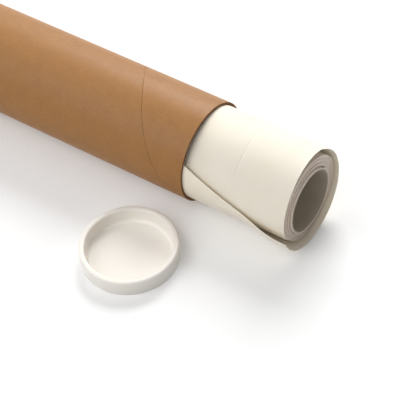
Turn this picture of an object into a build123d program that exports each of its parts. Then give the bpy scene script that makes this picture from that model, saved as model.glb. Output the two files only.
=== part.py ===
"""A spiral-wound drawing tube lying on its side, with a roll of drawings part way out of its mouth.

The tube lies along X with its mouth towards +X. The mouth's plug stands open side up beside it and a
second plug closes the far end. Lengths are in millimetres and angles in degrees. The origin is on the
floor, in the middle of the whole set, and angles round the tube run from +Y towards +Z.
"""

from build123d import *
import os
from math import ceil, cos, exp, log, radians, sin, sqrt

# ---- Tube: five plies of board wound one on the next -------------------------------------------
tube_length = 640.0  # takes drawings 594 wide with a plug in each end
bore_radius = 38.1  # a 3 inch bore
ply_thickness = 0.35
glue_line = 0.06  # between one ply and the next
ply_names = ["liner_ply", "body_ply_1", "body_ply_2", "body_ply_3", "outer_wrap"]
winding_pitch = 150.0  # how far the wrap's strip climbs along the tube in one turn
seam_gap = 0.5  # between the wrap's edges. The plies under it are butted tight
wrap_seam_angle = 229.3  # where the wrap's seam meets the mouth
seam_run_out = 20.0  # the seam's cutter runs on past the mouth
seam_glued = 1.5  # at each end of the tube glue fills the seam over this length

# ---- Plugs: one moulding, used at both ends ----------------------------------------------------
plug_depth = 14.3
plug_clearance = 0.25  # all round, in the bore
plug_draft = 0.5  # how much narrower the closed end is than the rim, in radius
plug_rim_width = 4.0
plug_floor = 2.4
plug_inner_chamfer = 1.8
plug_rim_chamfer = 0.7
plug_base_chamfer = 0.6
loose_plug_gap = 11.0  # floor between the tube and the plug beside it
loose_plug_setback = 16.0  # of the plug's middle, behind the mouth

# ---- Drawings: rolled sheets, nested loosely, each lying on the one outside it ------------------
drawing_length = 594.0  # along the tube
roll_reach = 87.0  # how far the roll stands out of the mouth
roll_slack = 3.8  # how much smaller the roll is than the bore, in radius
drawing_count = 8
drawing_thickness = 0.45  # of a sheet's turns lying tight on each other
turn_gap = 0.1  # where a sheet overlaps itself
overlap_angle = 45.0
nest_gap = 0.15  # between one drawing and the next where they lie closest
seam_swing = 9.0  # how far each drawing's edge is turned from its neighbour's
end_step = 0.35  # how far a drawing's end may stand behind the roll's end
inner_drawing_count = 2
inner_roll_gap = 0.55  # between the inner drawings and the roll round them, as a mean
inner_roll_lift = 0.4  # how far the inner drawings spring up in the roll
inner_roll_proud = 0.9  # how far their ends stand out of the roll's end
inner_overlap_at = 130.0  # the angle at which they overlap themselves

# ---- Loose sheet: the outermost drawing, sprung open against the bore --------------------------
loose_thickness = 0.4
loose_clearance = 0.4  # to the bore, and to the roll inside it
leave_bore_angle = 415.0  # where its second turn leaves the bore
reach_roll_angle = 510.0  # where its second turn has come down on the roll
loose_end_angle = 572.0  # its hidden inner edge
free_edge_at_mouth = 153.4  # its free edge slants along the roll from here
free_edge_slant = 0.70  # degrees per millimetre
free_edge_back_angle = 125.0  # deep in the tube the edge runs straight
free_edge_front_angle = 197.5  # and again at the curled corner
edge_bend = 3.0  # how softly the slant begins and ends, in degrees
curl_start, curl_full = 51.0, 79.0  # the corner curls away over this stretch beyond the mouth
curl_height = 4.7
curl_from_angle, curl_to_angle = 285.0, 218.0
front_skew = 0.106  # the sheet went in at a slant, so its front edge lies in a tilted plane
front_skew_angle = 240.0
front_middle = 91.0  # where that plane crosses the tube's axis, beyond the mouth
second_turn_setback = 0.2  # of the second turn's front edge, behind the roll's end
straight_until = -80.0  # the sheet's free flap runs straight up to here, and is shaped from here on
trim_spare = 13.0  # left on each end for the slanted cuts
flap_sections = [straight_until, -50.0, -35.0, 0.0, 50.0, 64.0, 80.0, front_middle + trim_spare]
flap_steps = 8
settling_steps = 4  # arcs in the stretch where the second turn settles on the roll

# ---- What follows from them --------------------------------------------------------------------
wall = len(ply_names) * ply_thickness + (len(ply_names) - 1) * glue_line
tube_radius = bore_radius + wall
plug_radius = bore_radius - plug_clearance
roll_radius = bore_radius - roll_slack
loose_radius = bore_radius - loose_clearance - loose_thickness / 2
axis_to_roll = loose_radius - loose_thickness / 2 - loose_clearance - roll_radius
turn_drop = drawing_thickness + turn_gap
overlap_drop = turn_drop * (1 + overlap_angle / 360)
nest_step = overlap_drop / 2 + drawing_thickness + nest_gap
nest_sink = overlap_drop / 2


def eased(share):
    """A smooth step from 0 to 1 as the share goes from 0 to 1."""
    share = min(max(share, 0.0), 1.0)
    return share * share * (3 - 2 * share)


def soft_ramp(value):
    """The value where it is positive and 0 where it is negative, with a soft bend between."""
    return edge_bend * log(1 + exp(value / edge_bend))


def free_edge_angle(reach):
    """Where the loose sheet's free edge lies, at a distance beyond the mouth."""
    slant_end = (free_edge_front_angle - free_edge_at_mouth) / free_edge_slant
    slanted = free_edge_front_angle - soft_ramp((slant_end - reach) * free_edge_slant)
    return free_edge_back_angle + soft_ramp(slanted - free_edge_back_angle)


def loose_sheet_radius(reach, angle):
    """Distance from the tube's axis to the middle of the loose sheet's thickness."""
    roll_line = roll_radius + loose_clearance + loose_thickness / 2
    sideways, upward = cos(radians(angle)), sin(radians(angle))
    on_roll = -axis_to_roll * upward + sqrt(roll_line**2 - (axis_to_roll * sideways) ** 2)
    down = eased((angle - leave_bore_angle) / (reach_roll_angle - leave_bore_angle))
    curl = curl_height * eased((reach - curl_start) / (curl_full - curl_start))
    curl *= eased((curl_from_angle - angle) / (curl_from_angle - curl_to_angle))
    return loose_radius + (on_roll - loose_radius) * down + curl


def front_edge_reach(angle):
    """How far beyond the mouth the loose sheet's front edge lies."""
    radius = loose_sheet_radius(curl_full, angle) + loose_thickness / 2
    return front_middle + front_skew * radius * cos(radians(angle - front_skew_angle))


front_most = max(front_edge_reach(angle) for angle in range(190, 300))
mouth_x = (tube_length - front_most) / 2
axis_y = loose_plug_gap / 2 + plug_radius
axis_z = tube_radius
roll_z = axis_z - axis_to_roll
loose_plug_y = axis_y - tube_radius - loose_plug_gap - plug_radius

os.makedirs("parts", exist_ok=True)


# ---- Tube --------------------------------------------------------------------------------------
def across_tube(radius, from_mouth):
    """A disc across the tube, at a distance behind the mouth."""
    with BuildSketch(Plane.YZ.offset(mouth_x - from_mouth)) as disc:
        with Locations((axis_y, axis_z)):
            Circle(radius)
    return disc.sketch


def wound_ply(name, inner_radius, seam_angle=None):
    """One strip of board wound into a tube. With a seam angle, the edges of its turns stand apart."""
    outer_radius = inner_radius + ply_thickness
    with BuildPart() as ply:
        extrude(across_tube(outer_radius, tube_length), amount=tube_length)
        extrude(across_tube(inner_radius, tube_length), amount=tube_length, mode=Mode.SUBTRACT)
        if seam_angle is not None:
            add(seam_cutter(inner_radius, seam_angle).part, mode=Mode.SUBTRACT)
    ply.part.label = name
    export_step(ply.part, f"parts/{name}.step")
    return ply


def seam_cutter(inner_radius, seam_angle):
    """What lies between the edges of a ply's turns, short of the glued ends."""
    quarter_turn = 90  # the helix starts straight above the axis
    turns = (seam_angle - quarter_turn) / 360 + ceil(tube_length / winding_pitch)
    seam_start = (mouth_x - turns * winding_pitch, axis_y, axis_z)
    seam_length = turns * winding_pitch + seam_run_out
    middle_radius = inner_radius + ply_thickness / 2
    with BuildPart() as cutter:
        with BuildLine():
            seam = Helix(winding_pitch, seam_length, middle_radius, seam_start, (1, 0, 0))
        with BuildSketch(Plane(origin=seam @ 0, x_dir=(0, 0, 1), z_dir=seam % 0)):
            Rectangle(4 * ply_thickness, seam_gap)
        sweep(path=seam, is_frenet=True)
        open_stretch = across_tube(2 * tube_radius, tube_length - seam_glued)
        extrude(open_stretch, amount=tube_length - 2 * seam_glued, mode=Mode.INTERSECT)
    return cutter


for number, name in enumerate(ply_names[:-1]):
    wound_ply(name, bore_radius + number * (ply_thickness + glue_line))
wound_ply(ply_names[-1], tube_radius - ply_thickness, wrap_seam_angle)


# ---- Plugs -------------------------------------------------------------------------------------
def plug(name, base_plane):
    """A shallow cup with a thick rim. Its closed end lies in the plane, its rim along +Z of it."""
    base_radius = plug_radius - plug_draft
    inner_radius = plug_radius - plug_rim_width
    section_plane = Plane(base_plane.origin, x_dir=base_plane.x_dir, z_dir=-base_plane.y_dir)
    base_edge = (base_radius, 0)
    rim_outside = (plug_radius, plug_depth)
    rim_inside = (inner_radius, plug_depth)
    floor_corner = (inner_radius - plug_draft, plug_floor)
    with BuildPart() as moulding:
        with BuildSketch(section_plane) as section:
            with BuildLine():
                Polyline((0, 0), base_edge, rim_outside, rim_inside, floor_corner, (0, plug_floor), close=True)
            make_face()
            chamfer(section.vertices().group_by(Axis.Y)[-1], plug_rim_chamfer)
            chamfer(section.vertices().sort_by_distance(floor_corner)[0], plug_inner_chamfer)
            chamfer(section.vertices().sort_by_distance(base_edge)[0], plug_base_chamfer)
        revolve(axis=Axis(base_plane.origin, base_plane.z_dir))
    moulding.part.label = name
    export_step(moulding.part, f"parts/{name}.step")
    return moulding


plug("front_plug", Plane(origin=(mouth_x - loose_plug_setback, loose_plug_y, 0)))
plug("rear_plug", Plane(origin=(mouth_x - tube_length, axis_y, axis_z), x_dir=(0, 1, 0), z_dir=(1, 0, 0)))


# ---- Drawings ----------------------------------------------------------------------------------
def rolled_drawing(name, centre, radius, start_angle, front_x):
    """A rolled sheet: a volute of quarter arcs, each a little tighter, that overlaps its own start."""
    tighten = turn_drop / 4
    arcs = []
    angle = start_angle
    for sweep_angle in (90, 90, 90, 90, overlap_angle):
        arcs.append((centre, radius, angle, sweep_angle))
        angle += sweep_angle
        centre += Vector(tighten, 0).rotate(Axis.Z, angle)
        radius -= tighten
    half = drawing_thickness / 2
    with BuildPart() as drawing:
        with BuildSketch(Plane.YZ.offset(front_x - drawing_length)):
            with BuildLine():
                outer = [CenterArc(c, r + half, a, s) for c, r, a, s in arcs]
                inner = [CenterArc(c, r - half, a, s) for c, r, a, s in arcs]
                Line(outer[0] @ 0, inner[0] @ 0)
                Line(outer[-1] @ 1, inner[-1] @ 1)
            make_face()
        extrude(amount=drawing_length)
    drawing.part.label = name
    export_step(drawing.part, f"parts/{name}.step")
    return drawing


for number in range(drawing_count):
    rolled_drawing(
        f"drawing_{number + 1}",
        Vector(axis_y, roll_z - number * nest_sink),
        roll_radius - drawing_thickness / 2 - number * nest_step,
        90 - overlap_angle / 2 + seam_swing * (1 if number % 2 else -1),
        mouth_x + roll_reach - end_step * (number % 3),
    )

hole_radius = roll_radius - drawing_thickness / 2 - drawing_count * nest_step
hole_z = roll_z - drawing_count * nest_sink
for number in range(inner_drawing_count):
    away_from_overlap = Vector(nest_sink, 0).rotate(Axis.Z, inner_overlap_at + 180)
    rolled_drawing(
        f"inner_drawing_{number + 1}",
        Vector(axis_y, hole_z + inner_roll_lift) + away_from_overlap * number,
        hole_radius - inner_roll_gap - number * nest_step,
        inner_overlap_at - overlap_angle / 2,
        mouth_x + roll_reach + inner_roll_proud,
    )


# ---- Loose sheet -------------------------------------------------------------------------------
def loose_sheet_point(reach, angle, offset):
    """A point on one face of the loose sheet, half its thickness in or out."""
    radius = loose_sheet_radius(reach, angle) + offset
    return (axis_y + radius * cos(radians(angle)), axis_z + radius * sin(radians(angle)))


def wrapped_section(joints):
    """An evenly rolled stretch of the sheet cut across, as arcs that meet at these angles."""
    with BuildSketch(Plane.YZ.offset(mouth_x + straight_until)) as section:
        with BuildLine():
            for offset in (loose_thickness / 2, -loose_thickness / 2):
                for start, end in zip(joints, joints[1:]):
                    angles = (start, (start + end) / 2, end)
                    ThreePointArc(*[loose_sheet_point(straight_until, angle, offset) for angle in angles])
            for angle in (joints[0], joints[-1]):
                outside = loose_sheet_point(straight_until, angle, loose_thickness / 2)
                inside = loose_sheet_point(straight_until, angle, -loose_thickness / 2)
                Line(outside, inside)
        make_face()
    return section.sketch


def flap_section(reach):
    """The sheet's free flap cut across, from its slanted free edge to where its curled corner begins."""
    curve, steps = (ThreePointArc, 2) if reach == straight_until else (Spline, flap_steps)
    free_angle = free_edge_angle(reach)
    angles = [free_angle + (curl_from_angle - free_angle) * step / steps for step in range(steps + 1)]
    with BuildSketch(Plane.YZ.offset(mouth_x + reach)) as section:
        with BuildLine():
            outside = curve(*[loose_sheet_point(reach, angle, loose_thickness / 2) for angle in angles])
            inside = curve(*[loose_sheet_point(reach, angle, -loose_thickness / 2) for angle in angles])
            Line(outside @ 0, inside @ 0)
            Line(outside @ 1, inside @ 1)
        make_face()
    return section.sketch


skewed = (1, -front_skew * cos(radians(front_skew_angle)), -front_skew * sin(radians(front_skew_angle)))
front_cut = Plane((mouth_x + front_middle, axis_y, axis_z), z_dir=skewed)
rear_cut = Plane((mouth_x + front_middle - drawing_length, axis_y, axis_z), z_dir=skewed)
settling = (reach_roll_angle - leave_bore_angle) / settling_steps
second_turn = [leave_bore_angle + settling * step for step in range(settling_steps + 1)] + [loose_end_angle]
with BuildPart() as rear_stretch:
    rear_length = straight_until - (front_middle - drawing_length - trim_spare)
    extrude(wrapped_section([free_edge_angle(straight_until)] + second_turn), amount=-rear_length)
    split(bisect_by=rear_cut, keep=Keep.TOP)
with BuildPart() as front_of_first_turn:
    first_turn = wrapped_section([curl_from_angle, leave_bore_angle])
    extrude(first_turn, amount=flap_sections[-1] - straight_until)
    split(bisect_by=front_cut, keep=Keep.BOTTOM)
with BuildPart() as front_of_second_turn:
    extrude(wrapped_section(second_turn), amount=roll_reach - second_turn_setback - straight_until)
with BuildPart() as flap:
    loft([flap_section(reach) for reach in flap_sections])
    split(bisect_by=front_cut, keep=Keep.BOTTOM)
with BuildPart() as loose_sheet:
    add([rear_stretch.part, front_of_first_turn.part, front_of_second_turn.part, flap.part])
loose_sheet.part.label = "loose_sheet"
export_step(loose_sheet.part, "parts/loose_sheet.step")
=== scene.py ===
"""A drawing tube of spiral-wound kraft board, with a roll of drawings part way out of its mouth.

The tube's plies, the two moulded plugs, the rolled drawings and the loose sheet round them are each
made by an operator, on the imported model's own places. Lengths are in metres and angles in radians.
Angles round the tube run from +Y towards +Z, and a reach is a distance beyond the tube's mouth.
"""

from math import atan, ceil, cos, exp, log, pi, radians, sin, sqrt, tau

import bmesh
import bpy
from bpy.props import FloatProperty, FloatVectorProperty, PointerProperty
from mathutils import Matrix, Vector


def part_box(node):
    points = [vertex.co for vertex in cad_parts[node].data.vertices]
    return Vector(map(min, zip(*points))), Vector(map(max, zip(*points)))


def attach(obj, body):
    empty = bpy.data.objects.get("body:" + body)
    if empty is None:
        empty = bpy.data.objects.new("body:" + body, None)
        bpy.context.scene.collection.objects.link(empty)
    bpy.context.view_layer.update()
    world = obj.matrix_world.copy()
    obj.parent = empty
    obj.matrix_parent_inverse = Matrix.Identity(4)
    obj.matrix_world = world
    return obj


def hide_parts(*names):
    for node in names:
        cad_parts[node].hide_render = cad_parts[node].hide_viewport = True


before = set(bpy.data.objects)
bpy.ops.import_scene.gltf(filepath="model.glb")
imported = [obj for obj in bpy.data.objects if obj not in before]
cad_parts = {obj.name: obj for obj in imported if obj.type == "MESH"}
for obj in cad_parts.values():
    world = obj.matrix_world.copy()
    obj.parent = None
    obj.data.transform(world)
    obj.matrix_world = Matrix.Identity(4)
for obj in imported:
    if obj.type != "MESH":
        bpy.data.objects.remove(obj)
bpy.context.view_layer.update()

bl_info = {
    "name": "Drawing Tube",
    "version": (1, 0, 0),
    "blender": (4, 5, 0),
    "location": "3D View > Sidebar > Drawing Tube",
    "description": "Builds a kraft drawing tube with its plugs and a roll of drawings",
    "category": "Object",
}

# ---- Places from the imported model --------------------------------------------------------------
MM = 0.001
HAIR = 0.001 * MM  # lengths below this count as none
wrap_low, wrap_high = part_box("outer_wrap")
liner_low, liner_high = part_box("liner_ply")
MOUTH_X = wrap_high[0]
REAR_X = wrap_low[0]
AXIS_Y = (wrap_low[1] + wrap_high[1]) / 2
AXIS_Z = (wrap_low[2] + wrap_high[2]) / 2
TUBE_RADIUS = (wrap_high[2] - wrap_low[2]) / 2
LINER_RADIUS = (liner_high[2] - liner_low[2]) / 2
PLY_NAMES = ["liner_ply", "body_ply_1", "body_ply_2", "body_ply_3", "outer_wrap"]
PLY_STEP = (TUBE_RADIUS - LINER_RADIUS) / (len(PLY_NAMES) - 1)
ROLL_NAMES = [f"drawing_{number}" for number in range(1, 9)]
INNER_ROLL_NAMES = ["inner_drawing_1", "inner_drawing_2"]

# ---- How finely things are made ----------------------------------------------------------------
STRIP_ROWS = 16  # across a wound strip
STRIP_STEPS = 96  # in each of its turns
SHEET_ROWS = 7  # along a rolled sheet
SHEET_STEPS = 100  # in each of its turns
CRISP_ANGLE = radians(35)  # sharper edges are shaded as edges


# ---- Sizes and colours a user would change -----------------------------------------------------
def amount(name, description, default, unit="NONE"):
    """A plain number, or a power where the unit says so."""
    return FloatProperty(name=name, description=description, default=default, unit=unit)


def length(name, description, millimetres):
    """A length property, given in millimetres."""
    return FloatProperty(
        name=name, description=description, default=millimetres * MM, unit="LENGTH", precision=5
    )


def angle(name, description, degrees):
    """An angle property, given in degrees."""
    return FloatProperty(name=name, description=description, default=radians(degrees), unit="ROTATION")


def linear(hex_colour):
    """An sRGB hex colour as linear red, green, blue and alpha."""
    channels = [int(hex_colour[start:start + 2], 16) / 255 for start in (0, 2, 4)]
    return [c / 12.92 if c <= 0.04045 else ((c + 0.055) / 1.055) ** 2.4 for c in channels] + [1.0]


def colour(name, description, hex_colour):
    """A colour property, given as sRGB hex."""
    return FloatVectorProperty(
        name=name, description=description, default=linear(hex_colour), subtype="COLOR", size=4, min=0, max=1
    )


class TubeSettings(bpy.types.PropertyGroup):
    """The spiral-wound board tube."""

    ply_thickness: length("Ply", "Thickness of one ply of board", 0.35)
    winding_pitch: length("Pitch", "How far a strip climbs along the tube in one turn", 150.0)
    wrap_gap: length("Wrap Gap", "Between the edges of the wrap's turns", 0.24)
    board_gap: length("Board Gap", "Between the edges of the turns of the board under the wrap", 0.12)
    seam_angle: angle("Seam", "Where the wrap's seam meets the mouth", 229.3)
    seam_stagger: angle("Stagger", "How far each ply's seam is turned from the next one's", 120.0)
    kraft: colour("Kraft", "Colour of the outer wrap", "9E6D35")
    kraft_fibre: colour("Fibre", "Colour of the darker fibres in the wrap", "7C5229")
    board: colour("Board", "Colour of the board under the wrap", "7A5530")


class PlugSettings(bpy.types.PropertyGroup):
    """The two moulded plugs, which are one moulding."""

    draft: length("Draft", "How much narrower the closed end is than the rim", 0.5)
    rim_width: length("Rim Width", "Thickness of the rim", 4.6)
    floor: length("Floor", "Thickness of the closed end", 2.4)
    rim_rounding: length("Rim Rounding", "Radius along the rim's edges", 1.7)
    base_rounding: length("Base Rounding", "Radius along the closed end's edge", 0.8)
    inner_fillet: length("Inner Fillet", "Radius between the wall and the floor", 3.0)
    plastic: colour("Plastic", "Colour of the moulded plastic", "F7F2EA")


class RollSettings(bpy.types.PropertyGroup):
    """The drawings rolled inside each other."""

    radius: length("Radius", "Of the whole roll", 34.3)
    turns: amount("Turns", "Of one sheet in the roll", 4.35)
    fill: amount("Fill", "How much of the room between two turns the paper fills", 0.94)
    nest_step: length("Nest Step", "How much smaller each drawing is than the one round it", 0.9095)
    nest_sink: length("Nest Sink", "How far each drawing lies below the middle of the one round it", 0.309375)
    seam_swing: angle("Seam Swing", "How far a drawing's edge is turned from its neighbour's", 9.0)
    waver: length("Waver", "How far a sheet's end stands in and out along its turns", 0.12)
    hollow_end: length("Hollow End", "How far the roll's end is dished, halfway in from its edge", 0.7)
    paper: colour("Paper", "Colour of the rolled drawings", "F1E4D8")


class InnerRollSettings(bpy.types.PropertyGroup):
    """The two smaller drawings that stand apart in the hollow of the roll."""

    gap: length("Gap", "Between the inner drawings and the roll round them", 0.55)
    lift: length("Lift", "How far they spring up in the roll", 0.35)
    drift: length("Drift", "How far they spring towards the tube's near side", 0.3)
    overlap_at: angle("Overlap At", "Where their sheets overlap themselves", 130.0)
    # the innermost drawing's paper is darker than the roll's: painted shade for the dim depth of the roll's
    # hollow
    paper: colour("Paper", "Colour of the innermost drawing, on toned paper", "C9BEAE")


class LooseSheetSettings(bpy.types.PropertyGroup):
    """The outermost drawing, sprung open against the bore."""

    thickness: length("Thickness", "Of the stiff sheet", 0.4)
    clearance: length("Clearance", "To the bore, and to the roll inside it", 0.4)
    leave_bore: angle("Leave Bore", "Where the second turn leaves the bore", 415.0)
    reach_roll: angle("Reach Roll", "Where the second turn has come down on the roll", 510.0)
    end: angle("End", "The hidden inner edge", 572.0)
    edge_at_mouth: angle("Edge At Mouth", "Where the free edge lies at the mouth", 153.4)
    edge_slant: amount("Edge Slant", "Radians per metre along the tube", radians(600))
    edge_back: angle("Edge Back", "Where the free edge runs straight, deep in the tube", 125.0)
    edge_front: angle("Edge Front", "Where the free edge runs straight, at the curled corner", 197.5)
    edge_bend: angle("Edge Bend", "How softly the slant begins and ends", 3.0)
    curl_start: length("Curl Start", "The reach at which the corner begins to curl away", 46.0)
    curl_full: length("Curl Full", "The reach at which it has curled away", 84.0)
    curl_height: length("Curl Height", "How far the corner stands off", 4.4)
    curl_from: angle("Curl From", "The corner begins to stand off here", 285.0)
    curl_to: angle("Curl To", "The corner stands off fully here", 218.0)
    skew: amount("Skew", "Slope of the front edge's plane", 0.06)
    skew_angle: angle("Skew Angle", "Where the front edge stands furthest out", 262.0)
    front_reach: length("Front Reach", "Where that plane crosses the tube's axis", 90.0)
    second_turn_setback: length("Second Turn Setback", "Of its edge, behind the roll's end", 0.2)
    sheet_length: length("Length", "Of the sheet, along the tube", 594.0)
    crease_reach: length("Crease Reach", "A faint crease round the second turn", 40.0)
    crease_depth: length("Crease Depth", "How deep the crease is", 0.22)
    crease_width: length("Crease Width", "How wide the crease is", 0.7)
    crease_from: angle("Crease From", "Where the crease begins", 429.0)
    crease_to: angle("Crease To", "Where the crease ends", 503.0)
    paper: colour("Paper", "Colour of the drawing paper", "FCF2E1")


class StageSettings(bpy.types.PropertyGroup):
    """The floor, the lamps and the camera."""

    floor: colour("Floor", "Colour of the floor", "F0F0F0")
    half_width: length("Half Width", "Of the floor, each way from its middle", 4000.0)
    lift: amount("Lift", "How much the floor is lightened where it is seen", 0.16)
    lifted_to: length("Lifted To", "How far from its middle the floor is only lightened", 1000.0)
    white_from: length("White From", "How far from its middle the floor is seen as white", 2200.0)
    back_power: amount("Back", "Power of the soft lamp behind the tube", 18.5, unit="POWER")
    side_power: amount("Side", "Power of the soft lamp at its far end", 2.0, unit="POWER")
    front_power: amount("Front", "Power of the soft lamp before the tube", 24.0, unit="POWER")
    end_power: amount("End", "Power of the soft lamp before the roll's end", 1.4, unit="POWER")
    ambient: amount("Ambient", "Strength of the light from all round", 0.09)
    azimuth: angle("Azimuth", "Of the camera, round the object", 38.777)
    elevation: angle("Elevation", "Of the camera, above the floor", 48.945)
    roll: angle("Roll", "Of the camera, about its own line of sight", -6.334)
    aim_behind: length("Aim Behind", "How far behind the mouth the camera's aim lies", 1.953)
    aim_beside: length("Aim Beside", "How far to the near side of the axis it lies", 16.723)
    distance: length("Distance", "From the camera to its aim", 1244.76)
    lens: amount("Lens", "Focal length in millimetres on a 36 mm sensor", 145.88)


# ---- Meshes ------------------------------------------------------------------------------------
def add_node(tree, kind, inputs=None, **properties):
    """Adds a node with its properties. An input, by name or number, is a value or a socket to link."""
    node = tree.nodes.new(kind)
    for name, value in properties.items():
        setattr(node, name, value)
    for key, value in (inputs or {}).items():
        if isinstance(value, bpy.types.NodeSocket):
            tree.links.new(value, node.inputs[key])
        else:
            node.inputs[key].default_value = value
    return node


def link_object(name, mesh, material):
    """Puts a finished mesh in the scene as a smooth object with crisp edges."""
    mesh.name = name
    mesh.materials.clear()
    mesh.materials.append(material)
    mesh.shade_smooth()
    mesh.set_sharp_from_angle(angle=CRISP_ANGLE)
    obj = bpy.data.objects.new(name, mesh)
    bpy.context.collection.objects.link(obj)
    return obj


def mesh_from_tree(tree, **values):
    """Runs a Geometry Nodes tree with these inputs, given by socket name, and returns a plain mesh."""
    carrier = bpy.data.objects.new("carrier", bpy.data.meshes.new("carrier"))
    bpy.context.collection.objects.link(carrier)
    modifier = carrier.modifiers.new("Shape", "NODES")
    modifier.node_group = tree
    for socket in tree.interface.items_tree:
        key = socket.name.lower().replace(" ", "_")
        if socket.in_out == "INPUT" and key in values:
            modifier[socket.identifier] = values.pop(key)
    if values:
        raise RuntimeError(f"{tree.name} has no input {', '.join(values)}")
    graph = bpy.context.evaluated_depsgraph_get()
    graph.update()
    mesh = bpy.data.meshes.new_from_object(carrier.evaluated_get(graph))
    carrier.modifiers.remove(modifier)
    bpy.data.objects.remove(carrier)
    if not mesh.polygons:
        raise RuntimeError(f"{tree.name} made no faces")
    return mesh


def new_tree(name, inputs):
    """A Geometry Nodes tree with these named inputs, each (name, socket type), and its input node."""
    tree = bpy.data.node_groups.new(name, "GeometryNodeTree")
    tree.interface.new_socket("Geometry", in_out="OUTPUT", socket_type="NodeSocketGeometry")
    for socket_name, socket_type in inputs:
        tree.interface.new_socket(socket_name, in_out="INPUT", socket_type=socket_type)
    return tree, tree.nodes.new("NodeGroupInput")


def close_sheet(tree, surface, material, thickness=1.0, offset=None):
    """Gives a surface its thickness, along its normals or by a stated offset, closes it and ends the tree."""
    outside = add_node(
        tree, "GeometryNodeExtrudeMesh", {"Mesh": surface, "Offset Scale": thickness, "Individual": False}
    )
    if offset is not None:
        tree.links.new(offset, outside.inputs["Offset"])
    inside = add_node(tree, "GeometryNodeFlipFaces", {"Mesh": surface})
    joined = add_node(tree, "GeometryNodeJoinGeometry")
    tree.links.new(inside.outputs["Mesh"], joined.inputs["Geometry"])
    tree.links.new(outside.outputs["Mesh"], joined.inputs["Geometry"])
    merged = add_node(
        tree, "GeometryNodeMergeByDistance", {"Geometry": joined.outputs["Geometry"], "Distance": 2 * HAIR}
    )
    bare = add_node(
        tree, "GeometryNodeRemoveAttribute", {"Geometry": merged.outputs["Geometry"], "Name": "outward"}
    )
    real = add_node(tree, "GeometryNodeRealizeInstances", {"Geometry": bare.outputs["Geometry"]})
    painted = add_node(
        tree, "GeometryNodeSetMaterial", {"Geometry": real.outputs["Geometry"], "Material": material}
    )
    add_node(tree, "NodeGroupOutput", {"Geometry": painted.outputs["Geometry"]})


def wound_strip_tree():
    """A strip wound into a tube. Its turns climb by the pitch, and the tube's ends are cut square."""
    tree, given = new_tree("Wound Strip", [
        ("Radius", "NodeSocketFloat"),
        ("Thickness", "NodeSocketFloat"),
        ("Climb", "NodeSocketFloat"),
        ("Start", "NodeSocketFloat"),
        ("Winding", "NodeSocketFloat"),
        ("Near Edge", "NodeSocketFloat"),
        ("Far Edge", "NodeSocketFloat"),
        ("Rear", "NodeSocketFloat"),
        ("Mouth", "NodeSocketFloat"),
        ("Axis", "NodeSocketVector"),
        ("Segments", "NodeSocketInt"),
        ("Material", "NodeSocketMaterial"),
    ])
    value = given.outputs
    # the flat strip: X runs along the winding and Y across the strip, each from -0.5 to 0.5
    grid = add_node(tree, "GeometryNodeMeshGrid", {
        "Size X": 1.0, "Size Y": 1.0, "Vertices X": value["Segments"], "Vertices Y": STRIP_ROWS,
    })
    position = add_node(tree, "GeometryNodeInputPosition").outputs["Position"]
    flat = add_node(tree, "ShaderNodeSeparateXYZ", {"Vector": position}).outputs
    turned = add_node(tree, "ShaderNodeMapRange", {
        "Value": flat["X"], "From Min": -0.5, "From Max": 0.5, "To Min": 0.0, "To Max": value["Winding"],
    }).outputs["Result"]
    seam = add_node(
        tree, "ShaderNodeMath", {0: turned, 1: value["Climb"], 2: value["Start"]}, operation="MULTIPLY_ADD"
    ).outputs[0]
    across = add_node(tree, "ShaderNodeMapRange", {
        "Value": flat["Y"], "From Min": -0.5, "From Max": 0.5,
        "To Min": value["Near Edge"], "To Max": value["Far Edge"],
    }).outputs["Result"]
    along = add_node(tree, "ShaderNodeMath", {0: seam, 1: across}, operation="ADD").outputs[0]
    kept = add_node(
        tree, "ShaderNodeClamp", {"Value": along, "Min": value["Rear"], "Max": value["Mouth"]}
    ).outputs["Result"]
    # faces that lie wholly past an end are dropped, and the rest is cut off square by the clamp
    past = add_node(tree, "ShaderNodeMath", {0: along, 1: kept}, operation="SUBTRACT").outputs[0]
    past = add_node(tree, "ShaderNodeMath", {0: past}, operation="ABSOLUTE").outputs[0]
    outside = add_node(
        tree, "FunctionNodeCompare", {"A": past, "B": HAIR}, data_type="FLOAT", operation="GREATER_THAN"
    ).outputs["Result"]
    outside = add_node(
        tree, "GeometryNodeFieldOnDomain", {"Value": outside}, data_type="BOOLEAN", domain="POINT"
    ).outputs["Value"]
    cut = add_node(
        tree, "GeometryNodeDeleteGeometry",
        {"Geometry": grid.outputs["Mesh"], "Selection": outside}, domain="FACE",
    ).outputs["Geometry"]
    spoke = add_node(tree, "ShaderNodeCombineXYZ", {"X": kept, "Y": value["Radius"]}).outputs["Vector"]
    around = add_node(
        tree, "ShaderNodeVectorRotate", {"Vector": spoke, "Angle": turned}, rotation_type="X_AXIS"
    ).outputs["Vector"]
    place = add_node(tree, "ShaderNodeVectorMath", {0: around, 1: value["Axis"]}, operation="ADD").outputs[0]
    wound = add_node(tree, "GeometryNodeSetPosition", {"Geometry": cut, "Position": place})
    close_sheet(tree, wound.outputs["Geometry"], value["Material"], thickness=value["Thickness"])
    return tree


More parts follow.
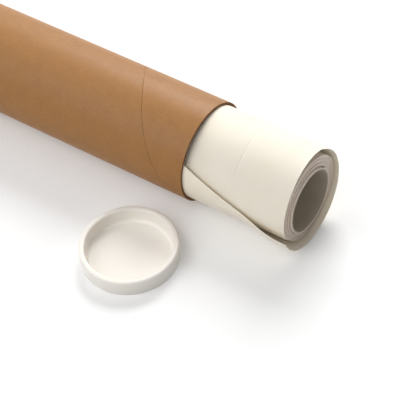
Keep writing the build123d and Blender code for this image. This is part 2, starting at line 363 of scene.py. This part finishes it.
def rolled_sheet_tree():
    """A sheet rolled up in a spiral. Its middle moves with each turn, so the turns lie closer on one side."""
    tree, given = new_tree("Rolled Sheet", [
        ("Radius", "NodeSocketFloat"),
        ("Turn Step", "NodeSocketFloat"),
        ("Turn Sink", "NodeSocketVector"),
        ("Fill", "NodeSocketFloat"),
        ("From Angle", "NodeSocketFloat"),
        ("To Angle", "NodeSocketFloat"),
        ("Rear", "NodeSocketFloat"),
        ("Front", "NodeSocketFloat"),
        ("Waver", "NodeSocketFloat"),
        ("Seed", "NodeSocketFloat"),
        ("Centre", "NodeSocketVector"),
        ("Segments", "NodeSocketInt"),
        ("Material", "NodeSocketMaterial"),
    ])
    value = given.outputs
    grid = add_node(tree, "GeometryNodeMeshGrid", {
        "Size X": 1.0, "Size Y": 1.0, "Vertices X": value["Segments"], "Vertices Y": SHEET_ROWS,
    })
    position = add_node(tree, "GeometryNodeInputPosition").outputs["Position"]
    flat = add_node(tree, "ShaderNodeSeparateXYZ", {"Vector": position}).outputs
    turned = add_node(tree, "ShaderNodeMapRange", {
        "Value": flat["X"], "From Min": -0.5, "From Max": 0.5,
        "To Min": value["From Angle"], "To Max": value["To Angle"],
    }).outputs["Result"]
    # in each full turn the radius falls by the turn step, and the middle moves by the turn sink
    passed = add_node(
        tree, "ShaderNodeMath", {0: turned, 1: value["From Angle"]}, operation="SUBTRACT"
    ).outputs[0]
    passed = add_node(tree, "ShaderNodeMath", {0: passed, 1: tau}, operation="DIVIDE").outputs[0]
    drawn = add_node(
        tree, "ShaderNodeMath", {0: passed, 1: value["Turn Step"]}, operation="MULTIPLY"
    ).outputs[0]
    radius = add_node(
        tree, "ShaderNodeMath", {0: value["Radius"], 1: drawn}, operation="SUBTRACT"
    ).outputs[0]
    sunk = add_node(
        tree, "ShaderNodeVectorMath", {0: value["Turn Sink"], "Scale": passed}, operation="SCALE"
    ).outputs[0]
    middle = add_node(
        tree, "ShaderNodeVectorMath", {0: value["Centre"], 1: sunk}, operation="ADD"
    ).outputs[0]
    # the room between two turns is a turn step, less on the side to which the middle moves
    outwards = add_node(
        tree, "ShaderNodeVectorRotate", {"Vector": (0.0, 1.0, 0.0), "Angle": turned}, rotation_type="X_AXIS"
    ).outputs["Vector"]
    narrower = add_node(
        tree, "ShaderNodeVectorMath", {0: value["Turn Sink"], 1: outwards}, operation="DOT_PRODUCT"
    ).outputs["Value"]
    room = add_node(
        tree, "ShaderNodeMath", {0: value["Turn Step"], 1: narrower}, operation="SUBTRACT"
    ).outputs[0]
    paper = add_node(tree, "ShaderNodeMath", {0: room, 1: value["Fill"]}, operation="MULTIPLY").outputs[0]
    seeded = add_node(tree, "ShaderNodeMath", {0: turned, 1: value["Seed"]}, operation="ADD").outputs[0]
    noise = add_node(
        tree, "ShaderNodeTexNoise", {"W": seeded, "Scale": 0.9, "Detail": 2.0}, noise_dimensions="1D"
    )
    drawn_in = add_node(
        tree, "ShaderNodeMath", {0: noise.outputs[0], 1: value["Waver"]}, operation="MULTIPLY"
    ).outputs[0]
    front = add_node(
        tree, "ShaderNodeMath", {0: value["Front"], 1: drawn_in}, operation="SUBTRACT"
    ).outputs[0]
    along = add_node(tree, "ShaderNodeMapRange", {
        "Value": flat["Y"], "From Min": -0.5, "From Max": 0.5, "To Min": value["Rear"], "To Max": front,
    }).outputs["Result"]
    # the surface is the paper's inner face, and its outer face is laid on by the thickness
    inside = add_node(tree, "ShaderNodeMath", {0: radius, 1: paper}, operation="SUBTRACT").outputs[0]
    places = []
    for spoke_length in (inside, radius):
        spoke = add_node(tree, "ShaderNodeCombineXYZ", {"X": along, "Y": spoke_length}).outputs["Vector"]
        around = add_node(
            tree, "ShaderNodeVectorRotate", {"Vector": spoke, "Angle": turned}, rotation_type="X_AXIS"
        ).outputs["Vector"]
        place = add_node(tree, "ShaderNodeVectorMath", {0: around, 1: middle}, operation="ADD")
        places.append(place.outputs[0])
    outward = add_node(
        tree, "ShaderNodeVectorMath", {0: places[1], 1: places[0]}, operation="SUBTRACT"
    ).outputs[0]
    kept = add_node(tree, "GeometryNodeStoreNamedAttribute", {
        "Geometry": grid.outputs["Mesh"], "Name": "outward", "Value": outward,
    }, data_type="FLOAT_VECTOR", domain="POINT").outputs["Geometry"]
    rolled = add_node(
        tree, "GeometryNodeSetPosition", {"Geometry": kept, "Position": places[0]}
    ).outputs["Geometry"]
    outward = add_node(
        tree, "GeometryNodeInputNamedAttribute", {"Name": "outward"}, data_type="FLOAT_VECTOR"
    ).outputs["Attribute"]
    close_sheet(tree, rolled, value["Material"], offset=outward)
    return tree


def arc_points(centre, radius, from_degrees, to_degrees, steps=6):
    """Points on an arc in a profile, ends included."""
    turns = [radians(from_degrees + (to_degrees - from_degrees) * step / steps) for step in range(steps + 1)]
    return [(centre[0] + radius * cos(turn), centre[1] + radius * sin(turn)) for turn in turns]


def turned_mesh(profile, placement, segments=160):
    """Turns a profile of (radius, height) points, which starts and ends on the axis, into a closed mesh."""
    shape = bmesh.new()
    rings = []
    for radius, height in profile:
        if radius < HAIR:
            rings.append([shape.verts.new((0, 0, height))])
            continue
        turns = [tau * step / segments for step in range(segments)]
        rings.append([shape.verts.new((radius * cos(turn), radius * sin(turn), height)) for turn in turns])
    for lower, upper in zip(rings, rings[1:]):
        for step in range(segments):
            after = (step + 1) % segments
            corners = [lower[step % len(lower)], lower[after % len(lower)]]
            corners += [upper[after % len(upper)], upper[step % len(upper)]]
            shape.faces.new(dict.fromkeys(corners))
    bmesh.ops.recalc_face_normals(shape, faces=shape.faces)
    bmesh.ops.transform(shape, matrix=placement, verts=shape.verts)
    mesh = bpy.data.meshes.new("turned")
    shape.to_mesh(mesh)
    shape.free()
    return mesh


# ---- Materials ---------------------------------------------------------------------------------
def new_material(name):
    """An empty node material and its tree."""
    material = bpy.data.materials.new(name)
    material.use_nodes = True
    material.node_tree.nodes.clear()
    return material, material.node_tree


def kraft_paper(name, base, fibre):
    """Unbleached kraft liner, machine-glazed on one side: a warm brown with a soft satin sheen.

    Pulp fibres show as short darker flecks that lie along the tube, over a cloudy unevenness some 10 mm
    across where the pulp settled.
    """
    material, tree = new_material(name)
    place = add_node(tree, "ShaderNodeTexCoord").outputs["Object"]
    cloud = add_node(tree, "ShaderNodeTexNoise", {
        "Vector": place, "Scale": 1 / (11 * MM), "Detail": 4.0, "Roughness": 0.6,
    }).outputs[0]
    # fibres about 2.5 mm long and 0.4 mm wide
    drawn_out = add_node(tree, "ShaderNodeMapping", {"Vector": place, "Scale": (0.22, 1.0, 1.0)}).outputs[0]
    fibres = add_node(tree, "ShaderNodeTexNoise", {
        "Vector": drawn_out, "Scale": 1 / (0.8 * MM), "Detail": 3.0, "Roughness": 0.65,
    }).outputs[0]
    flecks = add_node(tree, "ShaderNodeMapRange", {
        "Value": fibres, "From Min": 0.56, "From Max": 0.74, "To Min": 0.0, "To Max": 0.55,
    }).outputs["Result"]
    shade = add_node(tree, "ShaderNodeMapRange", {
        "Value": cloud, "From Min": 0.3, "From Max": 0.7, "To Min": 0.0, "To Max": 0.26,
    }).outputs["Result"]
    clouded = add_node(tree, "ShaderNodeMix", {0: shade, 6: base, 7: fibre}, data_type="RGBA").outputs[2]
    flecked = add_node(tree, "ShaderNodeMix", {0: flecks, 6: clouded, 7: fibre}, data_type="RGBA").outputs[2]
    rough = add_node(tree, "ShaderNodeMapRange", {
        "Value": fibres, "From Min": 0.3, "From Max": 0.7, "To Min": 0.42, "To Max": 0.62,
    }).outputs["Result"]
    bump = add_node(
        tree, "ShaderNodeBump", {"Height": fibres, "Strength": 0.22, "Distance": 0.05 * MM}
    ).outputs[0]
    surface = add_node(tree, "ShaderNodeBsdfPrincipled", {
        "Base Color": flecked, "Roughness": rough, "Normal": bump, "Specular IOR Level": 0.45, "IOR": 1.5,
    })
    add_node(tree, "ShaderNodeOutputMaterial", {"Surface": surface.outputs[0]})
    return material


def core_board(name, base):
    """Recycled grey-brown core board, unglazed: matt, speckled with darker and paler bits of pulp."""
    material, tree = new_material(name)
    place = add_node(tree, "ShaderNodeTexCoord").outputs["Object"]
    speck = add_node(tree, "ShaderNodeTexNoise", {
        "Vector": place, "Scale": 1 / (0.9 * MM), "Detail": 5.0, "Roughness": 0.7,
    }).outputs[0]
    paler = [min(channel * 1.35, 1.0) for channel in base[:3]] + [1.0]
    darker = [channel * 0.62 for channel in base[:3]] + [1.0]
    share = add_node(tree, "ShaderNodeMapRange", {
        "Value": speck, "From Min": 0.36, "From Max": 0.64, "To Min": 0.0, "To Max": 1.0,
    }).outputs["Result"]
    mottled = add_node(tree, "ShaderNodeMix", {0: share, 6: darker, 7: paler}, data_type="RGBA").outputs[2]
    bump = add_node(
        tree, "ShaderNodeBump", {"Height": speck, "Strength": 0.5, "Distance": 0.08 * MM}
    ).outputs[0]
    surface = add_node(tree, "ShaderNodeBsdfPrincipled", {
        "Base Color": mottled, "Roughness": 0.88, "Normal": bump, "IOR": 1.5,
    })
    add_node(tree, "ShaderNodeOutputMaterial", {"Surface": surface.outputs[0]})
    return material


def drawing_paper(name, base, through):
    """Uncoated drawing paper: matt, with a faint felt-side tooth. A single layer lets some light through."""
    material, tree = new_material(name)
    place = add_node(tree, "ShaderNodeTexCoord").outputs["Object"]
    tooth = add_node(tree, "ShaderNodeTexNoise", {
        "Vector": place, "Scale": 1 / (0.6 * MM), "Detail": 3.0, "Roughness": 0.6,
    }).outputs[0]
    cloud = add_node(
        tree, "ShaderNodeTexNoise", {"Vector": place, "Scale": 1 / (25 * MM), "Detail": 2.0}
    ).outputs[0]
    warmer = [base[0] * 0.97, base[1] * 0.955, base[2] * 0.92, 1.0]
    share = add_node(tree, "ShaderNodeMapRange", {
        "Value": cloud, "From Min": 0.35, "From Max": 0.65, "To Min": 0.0, "To Max": 0.7,
    }).outputs["Result"]
    tinted = add_node(tree, "ShaderNodeMix", {0: share, 6: base, 7: warmer}, data_type="RGBA").outputs[2]
    bump = add_node(
        tree, "ShaderNodeBump", {"Height": tooth, "Strength": 0.12, "Distance": 0.03 * MM}
    ).outputs[0]
    surface = add_node(tree, "ShaderNodeBsdfPrincipled", {
        "Base Color": tinted, "Roughness": 0.72, "Normal": bump, "IOR": 1.5, "Specular IOR Level": 0.35,
        "Subsurface Weight": through, "Subsurface Radius": (1.0, 0.96, 0.9), "Subsurface Scale": 0.9 * MM,
    })
    add_node(tree, "ShaderNodeOutputMaterial", {"Surface": surface.outputs[0]})
    return material


def moulded_plastic(name, base):
    """Injection-moulded polyethylene, natural white: a soft waxy gloss, and a little light sinks into it."""
    material, tree = new_material(name)
    place = add_node(tree, "ShaderNodeTexCoord").outputs["Object"]
    skin = add_node(tree, "ShaderNodeTexNoise", {
        "Vector": place, "Scale": 1 / (1.2 * MM), "Detail": 2.0, "Roughness": 0.5,
    }).outputs[0]
    flow = add_node(
        tree, "ShaderNodeTexNoise", {"Vector": place, "Scale": 1 / (14 * MM), "Detail": 2.0}
    ).outputs[0]
    rough = add_node(tree, "ShaderNodeMapRange", {
        "Value": flow, "From Min": 0.35, "From Max": 0.65, "To Min": 0.3, "To Max": 0.4,
    }).outputs["Result"]
    bump = add_node(
        tree, "ShaderNodeBump", {"Height": skin, "Strength": 0.08, "Distance": 0.03 * MM}
    ).outputs[0]
    surface = add_node(tree, "ShaderNodeBsdfPrincipled", {
        "Base Color": base, "Roughness": rough, "Normal": bump, "IOR": 1.51,
        "Subsurface Weight": 0.2, "Subsurface Radius": (1.0, 0.8, 0.6), "Subsurface Scale": 1.5 * MM,
    })
    add_node(tree, "ShaderNodeOutputMaterial", {"Surface": surface.outputs[0]})
    return material


def seen_directly(tree):
    """1 for what the camera or a glossy surface sees, and 0 for the light that falls on things."""
    path = add_node(tree, "ShaderNodeLightPath").outputs
    return add_node(
        tree, "ShaderNodeMath", {0: path["Is Camera Ray"], 1: path["Is Glossy Ray"]}, operation="MAXIMUM"
    ).outputs[0]


def studio_floor(name, stage):
    """Smooth white studio paper, matt. Where it is seen, it is lightened, and far away it is white."""
    material, tree = new_material(name)
    matt = add_node(tree, "ShaderNodeBsdfDiffuse", {"Color": stage.floor[:]})
    place = add_node(tree, "ShaderNodeTexCoord").outputs["Object"]
    away = add_node(tree, "ShaderNodeVectorMath", {0: place}, operation="LENGTH").outputs["Value"]
    glowing = add_node(tree, "ShaderNodeMapRange", {
        "Value": away, "From Min": stage.lifted_to, "From Max": stage.white_from,
        "To Min": stage.lift, "To Max": 1.0,
    }).outputs["Result"]
    strength = add_node(
        tree, "ShaderNodeMath", {0: seen_directly(tree), 1: glowing}, operation="MULTIPLY"
    ).outputs[0]
    glow = add_node(tree, "ShaderNodeEmission", {"Color": linear("FFFFFF"), "Strength": strength})
    both = add_node(tree, "ShaderNodeAddShader", {0: matt.outputs[0], 1: glow.outputs[0]})
    add_node(tree, "ShaderNodeOutputMaterial", {"Surface": both.outputs[0]})
    return material


# ---- The loose sheet's form --------------------------------------------------------------------
def eased(share):
    """A smooth step from 0 to 1 as the share goes from 0 to 1."""
    share = min(max(share, 0.0), 1.0)
    return share * share * (3 - 2 * share)


def soft_ramp(value, bend):
    """The value where it is positive and 0 where it is negative, with a soft bend between."""
    return bend * log(1 + exp(value / bend))


def free_edge_angle(sheet, reach):
    """Where the loose sheet's free edge lies at this reach."""
    slant_end = (sheet.edge_front - sheet.edge_at_mouth) / sheet.edge_slant
    slanted = sheet.edge_front - soft_ramp((slant_end - reach) * sheet.edge_slant, sheet.edge_bend)
    return sheet.edge_back + soft_ramp(slanted - sheet.edge_back, sheet.edge_bend)


def on_bore_radius(sheet):
    """The middle of the loose sheet's thickness where it lies along the bore."""
    bore_radius = LINER_RADIUS - bpy.context.scene.drawing_tube.ply_thickness
    return bore_radius - sheet.clearance - sheet.thickness / 2


def axis_to_roll(sheet, roll):
    """How far the roll's middle lies below the tube's, as it rests on the loose sheet."""
    return on_bore_radius(sheet) - sheet.thickness / 2 - sheet.clearance - roll.radius


def loose_sheet_radius(sheet, roll, reach, turn):
    """Distance from the tube's axis to the middle of the loose sheet's thickness."""
    on_bore, sag = on_bore_radius(sheet), axis_to_roll(sheet, roll)
    roll_line = roll.radius + sheet.clearance + sheet.thickness / 2
    on_roll = -sag * sin(turn) + sqrt(roll_line**2 - (sag * cos(turn)) ** 2)
    down = eased((turn - sheet.leave_bore) / (sheet.reach_roll - sheet.leave_bore))
    curl = sheet.curl_height * eased((reach - sheet.curl_start) / (sheet.curl_full - sheet.curl_start))
    curl *= eased((sheet.curl_from - turn) / (sheet.curl_from - sheet.curl_to))
    crease = exp(-(((reach - sheet.crease_reach) / sheet.crease_width) ** 2)) * sheet.crease_depth
    fade = 0.1  # radians, at each end of the crease
    crease *= eased((turn - sheet.crease_from) / fade) * eased((sheet.crease_to - turn) / fade)
    return on_bore + (on_roll - on_bore) * down + curl - crease


def end_plane_reach(sheet, turn):
    """Where the slanted plane of the first turn's front edge lies at this angle."""
    radius = on_bore_radius(sheet)
    if turn < sheet.curl_from:
        radius += sheet.curl_height * eased((sheet.curl_from - turn) / (sheet.curl_from - sheet.curl_to))
    return sheet.front_reach + sheet.skew * radius * cos(turn - sheet.skew_angle)


def loose_sheet_mesh(sheet, roll):
    """The loose sheet as a closed mesh. Its ends are slanted, and its second turn ends with the roll.

    Its rows run round it. A few take up the slanted rear end, up to an even row deep in the tube, and
    the rest are close together in front of that, and closest at the crease.
    """
    evened = -90 * MM
    blend = radians(12)  # between the first turn's front edge and the second's
    settling_rounds = 3  # the angle depends on the reach and the reach on the angle
    rear_rows, front_rows, across = 12, 60, 170
    roll_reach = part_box(ROLL_NAMES[0])[1][0] - MOUTH_X
    straight_front = roll_reach - sheet.second_turn_setback
    shares = [step / front_rows for step in range(front_rows + 1)]
    # thirteen close rows take the place of those near the crease
    crease_share = (sheet.crease_reach - evened) / (straight_front - evened)
    crease_half = sheet.crease_width / (straight_front - evened)
    cleared = 3.4 * crease_half
    shares = [share for share in shares if abs(share - crease_share) > cleared]
    shares = sorted(shares + [crease_share + crease_half * step / 2 for step in range(-6, 7)])
    rows = [(step / rear_rows, None) for step in range(rear_rows)] + [(1.0, share) for share in shares]
    shape = bmesh.new()
    sides = {}
    for side in (1, -1):
        sides[side] = []
        for rear_share, front_share in rows:
            row = []
            for step in range(across + 1):
                turn = sheet.end
                for _ in range(settling_rounds):
                    over = eased((turn - sheet.leave_bore) / blend + 0.5)
                    front = end_plane_reach(sheet, turn) * (1 - over) + straight_front * over
                    rear = end_plane_reach(sheet, turn) - sheet.sheet_length
                    if front_share is None:
                        reach = rear + (evened - rear) * rear_share
                    else:
                        reach = evened + (front - evened) * front_share
                    free_edge = free_edge_angle(sheet, reach)
                    turn = free_edge + (sheet.end - free_edge) * step / across
                radius = loose_sheet_radius(sheet, roll, reach, turn) + side * sheet.thickness / 2
                place = (MOUTH_X + reach, AXIS_Y + radius * cos(turn), AXIS_Z + radius * sin(turn))
                row.append(shape.verts.new(place))
            sides[side].append(row)
    outer, inner = sides[1], sides[-1]
    last = len(rows) - 1
    for grid in (outer, inner):
        for row, next_row in zip(grid, grid[1:]):
            for step in range(across):
                shape.faces.new((row[step], row[step + 1], next_row[step + 1], next_row[step]))
    for index in range(last):
        for edge in (0, across):
            near = outer[index][edge], inner[index][edge]
            far = inner[index + 1][edge], outer[index + 1][edge]
            shape.faces.new(near + far)
    for row in (0, last):
        for step in range(across):
            shape.faces.new((outer[row][step], outer[row][step + 1], inner[row][step + 1], inner[row][step]))
    bmesh.ops.recalc_face_normals(shape, faces=shape.faces)
    mesh = bpy.data.meshes.new("loose sheet")
    shape.to_mesh(mesh)
    shape.free()
    return mesh


# ---- Operators ---------------------------------------------------------------------------------
class WindTube(bpy.types.Operator):
    """Winds the tube's five plies, each a strip whose seam is turned from the next one's."""

    bl_idname = "drawing_tube.wind_tube"
    bl_label = "Wind Tube"

    def execute(self, context):
        tube = context.scene.drawing_tube
        tree = wound_strip_tree()
        wrap = kraft_paper("Kraft Paper, Machine-Glazed", tube.kraft[:], tube.kraft_fibre[:])
        board = core_board("Core Board, Recycled", tube.board[:])
        whole_turns = ceil((MOUTH_X - REAR_X) / tube.winding_pitch) + 2
        for number, node in enumerate(PLY_NAMES):
            is_wrap = node == PLY_NAMES[-1]
            outer_radius = LINER_RADIUS + number * PLY_STEP
            plies_outside = len(PLY_NAMES) - 1 - number
            seam_angle = (tube.seam_angle + plies_outside * tube.seam_stagger) % tau
            lead_angle = atan(tube.winding_pitch / (tau * outer_radius))
            gap = (tube.wrap_gap if is_wrap else tube.board_gap) / cos(lead_angle)
            mesh = mesh_from_tree(
                tree,
                radius=outer_radius - tube.ply_thickness,
                thickness=tube.ply_thickness,
                climb=tube.winding_pitch / tau,
                start=MOUTH_X - tube.winding_pitch * (whole_turns - 1 + seam_angle / tau),
                winding=whole_turns * tau,
                near_edge=gap / 2,
                far_edge=tube.winding_pitch - gap / 2,
                rear=REAR_X,
                mouth=MOUTH_X,
                axis=(0.0, AXIS_Y, AXIS_Z),
                segments=whole_turns * STRIP_STEPS + 1,
            )
            piece = link_object(f"wound_{node}", mesh, wrap if is_wrap else board)
            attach(piece, "tube")
            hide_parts(node)
        return {"FINISHED"}


class MouldPlugs(bpy.types.Operator):
    """Moulds the two plugs, each a shallow cup with a thick rounded rim."""

    bl_idname = "drawing_tube.mould_plugs"
    bl_label = "Mould Plugs"

    def execute(self, context):
        plug = context.scene.drawing_tube_plug
        low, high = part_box("front_plug")
        depth = high[2] - low[2]
        outer = (high[0] - low[0]) / 2
        rim = plug.rim_rounding
        inner = outer - plug.rim_width
        inner_corner = (inner - plug.draft - plug.inner_fillet, plug.floor + plug.inner_fillet)
        profile = [(0.0, 0.0)]
        base = plug.base_rounding
        profile += arc_points((outer - plug.draft - base, base), base, -90, 0)
        profile += arc_points((outer - rim, depth - rim), rim, 0, 90, steps=8)
        profile += arc_points((inner + rim, depth - rim), rim, 90, 180, steps=8)
        profile += arc_points(inner_corner, plug.inner_fillet, 0, -90, steps=8)
        profile += [(0.0, plug.floor)]
        plastic = moulded_plastic("Polyethylene, Moulded White", plug.plastic[:])
        rear_low, rear_high = map(Vector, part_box("rear_plug"))
        standing = Matrix.Translation(((low[0] + high[0]) / 2, (low[1] + high[1]) / 2, low[2]))
        rear_middle = (rear_low + rear_high) / 2
        rear_middle.x = rear_low.x
        facing_mouth = Matrix.Translation(rear_middle) @ Matrix.Rotation(pi / 2, 4, "Y")
        for node, placement in (("front_plug", standing), ("rear_plug", facing_mouth)):
            piece = link_object(f"moulded_{node}", turned_mesh(profile, placement), plastic)
            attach(piece, node)
            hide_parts(node)
        return {"FINISHED"}


class RollDrawings(bpy.types.Operator):
    """Rolls the drawings, each lying in the one outside it, and the two that stand apart in the middle."""

    bl_idname = "drawing_tube.roll_drawings"
    bl_label = "Roll Drawings"

    def execute(self, context):
        scene = context.scene
        roll, inner = scene.drawing_tube_roll, scene.drawing_tube_inner_roll
        sheet = scene.drawing_tube_loose_sheet
        tree = rolled_sheet_tree()
        paper = drawing_paper("Drawing Paper, Rolled", roll.paper[:], 0.0)
        # the darker paper for the innermost drawing is painted shade, standing in for the dim light deep in
        # the roll's hollow
        hollow_shade_paper = drawing_paper("Drawing Paper, Toned", inner.paper[:], 0.0)
        roll_z = AXIS_Z - axis_to_roll(sheet, roll)
        overlap = (roll.turns % 1) * tau
        # an end of each sheet lies over its first turn, so it takes up rather more steps than its turns
        turn_step = roll.nest_step / (roll.turns + overlap / tau + 0.2)
        seed_step = 17.0  # far enough on that no two sheets waver alike
        sheets = []
        for number, node in enumerate(ROLL_NAMES):
            swing = roll.seam_swing * (1 if number % 2 else -1)
            dish = roll.hollow_end * sin(pi * number / len(ROLL_NAMES))
            sheets.append((
                node,
                Vector((0.0, AXIS_Y, roll_z - number * roll.nest_sink)),
                Vector((0.0, 0.0, -roll.nest_sink)),
                roll.radius - number * roll.nest_step,
                pi / 2 - overlap / 2 + swing,
                dish,
            ))
        hole_radius = roll.radius - len(ROLL_NAMES) * roll.nest_step
        hole_z = roll_z - len(ROLL_NAMES) * roll.nest_sink
        for number, node in enumerate(INNER_ROLL_NAMES):
            away = Matrix.Rotation(inner.overlap_at + pi, 4, "X") @ Vector((0.0, roll.nest_sink, 0.0))
            sheets.append((
                node,
                Vector((0.0, AXIS_Y - inner.drift, hole_z + inner.lift)) + away * number,
                away,
                hole_radius - inner.gap - number * roll.nest_step,
                inner.overlap_at - overlap / 2,
                0.0,
            ))
        for number, (node, centre, sink, radius, start, dish) in enumerate(sheets):
            low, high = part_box(node)
            mesh = mesh_from_tree(
                tree,
                radius=radius,
                turn_step=turn_step,
                turn_sink=sink * turn_step / roll.nest_step,
                fill=roll.fill,
                from_angle=start,
                to_angle=start + roll.turns * tau,
                rear=low[0],
                front=high[0] - dish,
                waver=roll.waver,
                seed=number * seed_step,
                centre=centre,
                segments=int(roll.turns * SHEET_STEPS),
            )
            # only the innermost drawing takes the darker paper, as painted shade in the hollow, so the rim of
            # the drawing round it stays light
            innermost = node == INNER_ROLL_NAMES[-1]
            piece = link_object(f"rolled_{node}", mesh, hollow_shade_paper if innermost else paper)
            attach(piece, "drawings")
            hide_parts(node)
        return {"FINISHED"}


class CurlLooseSheet(bpy.types.Operator):
    """Curls the loose sheet that lies against the bore and round the roll."""

    bl_idname = "drawing_tube.curl_loose_sheet"
    bl_label = "Curl Loose Sheet"

    def execute(self, context):
        sheet, roll = context.scene.drawing_tube_loose_sheet, context.scene.drawing_tube_roll
        paper = drawing_paper("Drawing Paper, Loose Sheet", sheet.paper[:], 0.3)
        piece = link_object("curled_loose_sheet", loose_sheet_mesh(sheet, roll), paper)
        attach(piece, "loose_sheet")
        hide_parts("loose_sheet")
        return {"FINISHED"}


class SetStage(bpy.types.Operator):
    """Sets the pale floor, the soft lamps and the camera."""

    bl_idname = "drawing_tube.set_stage"
    bl_label = "Set Stage"

    def execute(self, context):
        scene, stage = context.scene, context.scene.drawing_tube_stage
        half = stage.half_width
        floor_mesh = bpy.data.meshes.new("studio floor")
        corners = [(-half, -half, 0), (half, -half, 0), (half, half, 0), (-half, half, 0)]
        floor_mesh.from_pydata(corners, [], [(0, 1, 2, 3)])
        floor = link_object("studio_floor", floor_mesh, studio_floor("Studio Paper", stage))
        middle = Vector((MOUTH_X, AXIS_Y, AXIS_Z))
        # each lamp's name, power, width and place from the middle of the tube's mouth
        lamps = [
            ("back_lamp", stage.back_power, 0.7, Vector((-0.35, 1.0, 0.92))),
            ("side_lamp", stage.side_power, 0.6, Vector((-1.0, 0.15, 0.9))),
            ("front_lamp", stage.front_power, 1.8, Vector((-0.5, -1.25, 1.35))),
            ("end_lamp", stage.end_power, 0.5, Vector((0.9, -0.15, 1.15))),
        ]
        for name, power, size, offset in lamps:
            light = bpy.data.lights.new(name, "AREA")
            light.energy, light.size = power, size
            lamp = bpy.data.objects.new(name, light)
            lamp.location = middle + offset
            lamp.rotation_euler = offset.to_track_quat("Z", "Y").to_euler()
            context.collection.objects.link(lamp)
        world = bpy.data.worlds.new("Studio")
        scene.world = world
        world.use_nodes = True
        world.node_tree.nodes.clear()
        strength = add_node(world.node_tree, "ShaderNodeMapRange", {
            "Value": seen_directly(world.node_tree), "To Min": stage.ambient, "To Max": 1.0,
        }).outputs["Result"]
        sky = add_node(
            world.node_tree, "ShaderNodeBackground", {"Color": linear("FFFFFF"), "Strength": strength}
        )
        add_node(world.node_tree, "ShaderNodeOutputWorld", {"Surface": sky.outputs[0]})
        camera = bpy.data.objects.new("camera", bpy.data.cameras.new("camera"))
        context.collection.objects.link(camera)
        camera.data.lens, camera.data.sensor_width = stage.lens, 36.0
        turn = Matrix.Rotation(stage.azimuth, 4, "Z") @ Matrix.Rotation(pi / 2 - stage.elevation, 4, "X")
        target = Vector((MOUTH_X - stage.aim_behind, AXIS_Y - stage.aim_beside, 0.0))
        back = Matrix.Translation((0.0, 0.0, stage.distance))
        camera.matrix_world = Matrix.Translation(target) @ turn @ back @ Matrix.Rotation(stage.roll, 4, "Z")
        scene.camera = camera
        scene.view_settings.view_transform = "Standard"
        return {"FINISHED"}


class DrawingTubePanel(bpy.types.Panel):
    """Lists the steps that build the drawing tube."""

    bl_idname = "VIEW3D_PT_drawing_tube"
    bl_label = "Drawing Tube"
    bl_space_type = "VIEW_3D"
    bl_region_type = "UI"
    bl_category = "Drawing Tube"

    def draw(self, context):
        for operator in OPERATORS:
            self.layout.operator(operator.bl_idname)
        for name, group in SETTINGS.items():
            box = self.layout.box()
            box.label(text=group.__name__)
            for field in group.__annotations__:
                box.prop(getattr(context.scene, name), field)


SETTINGS = {
    "drawing_tube": TubeSettings,
    "drawing_tube_plug": PlugSettings,
    "drawing_tube_roll": RollSettings,
    "drawing_tube_inner_roll": InnerRollSettings,
    "drawing_tube_loose_sheet": LooseSheetSettings,
    "drawing_tube_stage": StageSettings,
}
OPERATORS = [WindTube, MouldPlugs, RollDrawings, CurlLooseSheet, SetStage]


def register():
    for group in SETTINGS.values():
        bpy.utils.register_class(group)
    for name, group in SETTINGS.items():
        setattr(bpy.types.Scene, name, PointerProperty(type=group))
    for operator in OPERATORS:
        bpy.utils.register_class(operator)
    bpy.utils.register_class(DrawingTubePanel)


def unregister():
    bpy.utils.unregister_class(DrawingTubePanel)
    for operator in reversed(OPERATORS):
        bpy.utils.unregister_class(operator)
    for name, group in SETTINGS.items():
        delattr(bpy.types.Scene, name)
        bpy.utils.unregister_class(group)


def main():
    register()
    bpy.ops.drawing_tube.wind_tube()
    bpy.ops.drawing_tube.mould_plugs()
    bpy.ops.drawing_tube.roll_drawings()
    bpy.ops.drawing_tube.curl_loose_sheet()
    bpy.ops.drawing_tube.set_stage()


if __name__ == "__main__":
    main()
